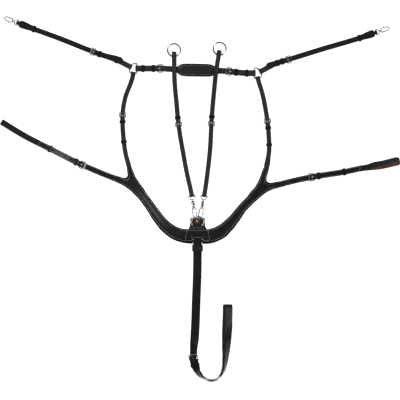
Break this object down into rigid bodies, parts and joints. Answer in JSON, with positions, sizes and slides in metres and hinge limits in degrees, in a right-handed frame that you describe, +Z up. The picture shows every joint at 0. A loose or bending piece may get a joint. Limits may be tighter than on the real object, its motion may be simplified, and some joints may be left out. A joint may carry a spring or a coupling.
{
  "type": "martingale breastplate",
  "caption": "Five-point hunting breastplate with a running-martingale fork, laid flat: padded breast yoke, buckled straps, elastic, snap hooks and rein rings.",
  "frame": {"origin": "the underside of the breast yoke, at its middle, on the surface that the part lies on", "axes": "+Z up out of the surface, +Y towards the withers, +X to the right as seen from above with the withers at the top"},
  "size_m": [1.2002, 1.0941, 0.0303],
  "materials": {
    "leather": "black bridle leather, semi-matt, with grey-edged stitching",
    "elastic": "black ribbed elastic webbing",
    "steel": "polished stainless steel"
  },
  "bodies": {
    "root": {"breast_yoke": "leather", "centre_shield": "leather", "left_neck_buckle": "steel", "left_neck_strap": "leather", "left_shoulder_buckle": "steel", "left_shoulder_dee": "steel", "left_shoulder_strap": "leather", "left_side_billet": "leather", "left_side_buckle": "steel", "left_side_loop": "elastic", "right_neck_buckle": "steel", "right_neck_strap": "leather", "right_shoulder_buckle": "steel", "right_shoulder_dee": "steel", "right_shoulder_strap": "leather", "right_side_billet": "leather", "right_side_buckle": "steel", "right_side_loop": "elastic", "wither_pad": "leather"},
    "centre_dee": {"centre_dee": "steel"},
    "girth_strap": {"girth_strap": "leather", "girth_buckle": "steel", "girth_loop": "leather"},
    "girth_tongue": {"girth_tongue": "steel"},
    "left_shoulder_tongue": {"left_shoulder_tongue": "steel"},
    "left_neck_tongue": {"left_neck_tongue": "steel"},
    "left_side_tongue": {"left_side_tongue": "steel"},
    "left_saddle_strap": {"left_saddle_strap": "leather", "left_saddle_buckle": "steel", "left_saddle_elastic": "elastic"},
    "left_saddle_tongue": {"left_saddle_tongue": "steel"},
    "left_saddle_snap_eye": {"left_saddle_snap_eye": "steel"},
    "left_saddle_snap_hook": {"left_saddle_snap_hook": "steel"},
    "left_saddle_snap_trigger": {"left_saddle_snap_trigger": "steel"},
    "left_fork_snap_hook": {"left_fork_snap_hook": "steel"},
    "left_fork_snap_trigger": {"left_fork_snap_trigger": "steel"},
    "left_fork_snap_eye": {"left_fork_snap_eye": "steel"},
    "left_fork_strap": {"left_fork_lower_strap": "leather", "left_fork_buckle": "steel", "left_fork_upper_strap": "leather"},
    "left_fork_tongue": {"left_fork_tongue": "steel"},
    "left_fork_ring": {"left_fork_ring": "steel"},
    "right_shoulder_tongue": {"right_shoulder_tongue": "steel"},
    "right_neck_tongue": {"right_neck_tongue": "steel"},
    "right_side_tongue": {"right_side_tongue": "steel"},
    "right_saddle_strap": {"right_saddle_strap": "leather", "right_saddle_buckle": "steel", "right_saddle_elastic": "elastic"},
    "right_saddle_tongue": {"right_saddle_tongue": "steel"},
    "right_saddle_snap_eye": {"right_saddle_snap_eye": "steel"},
    "right_saddle_snap_hook": {"right_saddle_snap_hook": "steel"},
    "right_saddle_snap_trigger": {"right_saddle_snap_trigger": "steel"},
    "right_fork_snap_hook": {"right_fork_snap_hook": "steel"},
    "right_fork_snap_trigger": {"right_fork_snap_trigger": "steel"},
    "right_fork_snap_eye": {"right_fork_snap_eye": "steel"},
    "right_fork_strap": {"right_fork_lower_strap": "leather", "right_fork_buckle": "steel", "right_fork_upper_strap": "leather"},
    "right_fork_tongue": {"right_fork_tongue": "steel"},
    "right_fork_ring": {"right_fork_ring": "steel"}
  },
  "joints": [
    {"name": "centre_dee_lift", "type": "hinge", "parent": "root", "child": "centre_dee", "pos_m": [0, 0.03, 0.0063], "axis": [1, 0, 0], "range_deg": [0, 55]},
    {"name": "girth_strap_lift", "type": "hinge", "parent": "root", "child": "girth_strap", "pos_m": [0, -0.014, 0.006], "axis": [-1, 0, 0], "range_deg": [0, 60]},
    {"name": "girth_tongue_lift", "type": "hinge", "parent": "girth_strap", "child": "girth_tongue", "pos_m": [-0.00976, -0.37151, 0.01447], "axis": [0.8041, 0.1562, 0.5736], "range_deg": [0, 8]},
    {"name": "left_shoulder_tongue_lift", "type": "hinge", "parent": "root", "child": "left_shoulder_tongue", "pos_m": [-0.22469, 0.35725, 0.0042], "axis": [0.9998, -0.0194, 0], "range_deg": [0, 8]},
    {"name": "left_neck_tongue_lift", "type": "hinge", "parent": "root", "child": "left_neck_tongue", "pos_m": [-0.11835, 0.50317, 0.0042], "axis": [0.01, -1, 0], "range_deg": [0, 8]},
    {"name": "left_side_tongue_lift", "type": "hinge", "parent": "root", "child": "left_side_tongue", "pos_m": [-0.35179, 0.2169, 0.0042], "axis": [-0.4223, -0.9064, 0], "range_deg": [0, 8]},
    {"name": "left_saddle_strap_lift", "type": "hinge", "parent": "root", "child": "left_saddle_strap", "pos_m": [-0.201, 0.508, 0.0048], "axis": [0.4385, 0.8988, 0], "range_deg": [0, 60]},
    {"name": "left_saddle_tongue_lift", "type": "hinge", "parent": "left_saddle_strap", "child": "left_saddle_tongue", "pos_m": [-0.30701, 0.551, 0.0042], "axis": [0.3518, 0.9361, 0], "range_deg": [0, 8]},
    {"name": "left_saddle_snap_eye_lift", "type": "hinge", "parent": "left_saddle_strap", "child": "left_saddle_snap_eye", "pos_m": [-0.539, 0.64, 0.0045], "axis": [0.359, 0.9333, 0], "range_deg": [0, 80]},
    {"name": "left_saddle_snap_swivel", "type": "hinge", "parent": "left_saddle_snap_eye", "child": "left_saddle_snap_hook", "pos_m": [-0.55207, 0.64503, 0.0045], "axis": [-0.9333, 0.359, 0], "continuous": true},
    {"name": "left_saddle_snap_trigger_press", "type": "hinge", "parent": "left_saddle_snap_hook", "child": "left_saddle_snap_trigger", "pos_m": [-0.56263, 0.64319, 0.0045], "axis": [0, 0, -1], "range_deg": [0, 25], "stiffness_Nm_per_rad": 0.02, "springref_deg": -17.19},
    {"name": "left_fork_snap_hook_swing", "type": "hinge", "parent": "centre_dee", "child": "left_fork_snap_hook", "pos_m": [-0.0073, 0.0584, 0.01029], "axis": [1, 0, 0], "range_deg": [0, 10]},
    {"name": "left_fork_snap_trigger_press", "type": "hinge", "parent": "left_fork_snap_hook", "child": "left_fork_snap_trigger", "pos_m": [-0.00461, 0.07623, 0.01366], "axis": [0.671, 0.0384, -0.7405], "range_deg": [0, 15], "stiffness_Nm_per_rad": 0.02, "springref_deg": -17.19},
    {"name": "left_fork_snap_swivel", "type": "hinge", "parent": "left_fork_snap_hook", "child": "left_fork_snap_eye", "pos_m": [-0.01452, 0.10575, 0.0062], "axis": [0.1502, -0.985, 0.085], "range_deg": [0, 20]},
    {"name": "left_fork_strap_lift", "type": "hinge", "parent": "left_fork_snap_eye", "child": "left_fork_strap", "pos_m": [-0.017, 0.122, 0.0048], "axis": [0.979, 0.2039, 0], "range_deg": [0, 35]},
    {"name": "left_fork_tongue_lift", "type": "hinge", "parent": "left_fork_strap", "child": "left_fork_tongue", "pos_m": [-0.05759, 0.34118, 0.0042], "axis": [-0.9939, -0.1105, 0], "range_deg": [0, 8]},
    {"name": "left_fork_ring_flop", "type": "hinge", "parent": "left_fork_strap", "child": "left_fork_ring", "pos_m": [-0.07, 0.5393, 0.0058], "axis": [0.9999, 0.0124, 0], "range_deg": [0, 110]},
    {"name": "right_shoulder_tongue_lift", "type": "hinge", "parent": "root", "child": "right_shoulder_tongue", "pos_m": [0.21032, 0.33901, 0.0042], "axis": [0.9934, 0.1151, 0], "range_deg": [0, 8]},
    {"name": "right_neck_tongue_lift", "type": "hinge", "parent": "root", "child": "right_neck_tongue", "pos_m": [0.10186, 0.49341, 0.0042], "axis": [0.1245, 0.9922, 0], "range_deg": [0, 8]},
    {"name": "right_side_tongue_lift", "type": "hinge", "parent": "root", "child": "right_side_tongue", "pos_m": [0.34911, 0.17852, 0.0042], "axis": [-0.1757, 0.9844, 0], "range_deg": [0, 8]},
    {"name": "right_saddle_strap_lift", "type": "hinge", "parent": "root", "child": "right_saddle_strap", "pos_m": [0.189, 0.494, 0.0048], "axis": [0.4545, -0.8907, 0], "range_deg": [0, 60]},
    {"name": "right_saddle_tongue_lift", "type": "hinge", "parent": "right_saddle_strap", "child": "right_saddle_tongue", "pos_m": [0.26709, 0.52803, 0.0042], "axis": [0.2962, -0.9551, 0], "range_deg": [0, 8]},
    {"name": "right_saddle_snap_eye_lift", "type": "hinge", "parent": "right_saddle_strap", "child": "right_saddle_snap_eye", "pos_m": [0.535, 0.611, 0.0045], "axis": [0.3216, -0.9469, 0], "range_deg": [0, 80]},
    {"name": "right_saddle_snap_swivel", "type": "hinge", "parent": "right_saddle_snap_eye", "child": "right_saddle_snap_hook", "pos_m": [0.54826, 0.6155, 0.0045], "axis": [0.9469, 0.3216, 0], "continuous": true},
    {"name": "right_saddle_snap_trigger_press", "type": "hinge", "parent": "right_saddle_snap_hook", "child": "right_saddle_snap_trigger", "pos_m": [0.5552, 0.62367, 0.0045], "axis": [0, 0, -1], "range_deg": [0, 25], "stiffness_Nm_per_rad": 0.02, "springref_deg": -17.19},
    {"name": "right_fork_snap_hook_swing", "type": "hinge", "parent": "centre_dee", "child": "right_fork_snap_hook", "pos_m": [0.0078, 0.0582, 0.01026], "axis": [1, 0, 0], "range_deg": [0, 10]},
    {"name": "right_fork_snap_trigger_press", "type": "hinge", "parent": "right_fork_snap_hook", "child": "right_fork_snap_trigger", "pos_m": [0.0164, 0.0747, 0.0136], "axis": [0.6455, -0.1869, -0.7405], "range_deg": [0, 15], "stiffness_Nm_per_rad": 0.02, "springref_deg": -17.19},
    {"name": "right_fork_snap_swivel", "type": "hinge", "parent": "right_fork_snap_hook", "child": "right_fork_snap_eye", "pos_m": [0.01691, 0.10585, 0.00618], "axis": [0.1872, 0.9787, -0.0838], "range_deg": [0, 20]},
    {"name": "right_fork_strap_lift", "type": "hinge", "parent": "right_fork_snap_eye", "child": "right_fork_strap", "pos_m": [0.02, 0.122, 0.0048], "axis": [0.9864, -0.1644, 0], "range_deg": [0, 35]},
    {"name": "right_fork_tongue_lift", "type": "hinge", "parent": "right_fork_strap", "child": "right_fork_tongue", "pos_m": [0.04201, 0.34423, 0.0042], "axis": [-0.9981, 0.0619, 0], "range_deg": [0, 8]},
    {"name": "right_fork_ring_flop", "type": "hinge", "parent": "right_fork_strap", "child": "right_fork_ring", "pos_m": [0.0635, 0.5438, 0.0058], "axis": [0.9889, -0.1488, 0], "range_deg": [0, 110]}
  ]
}
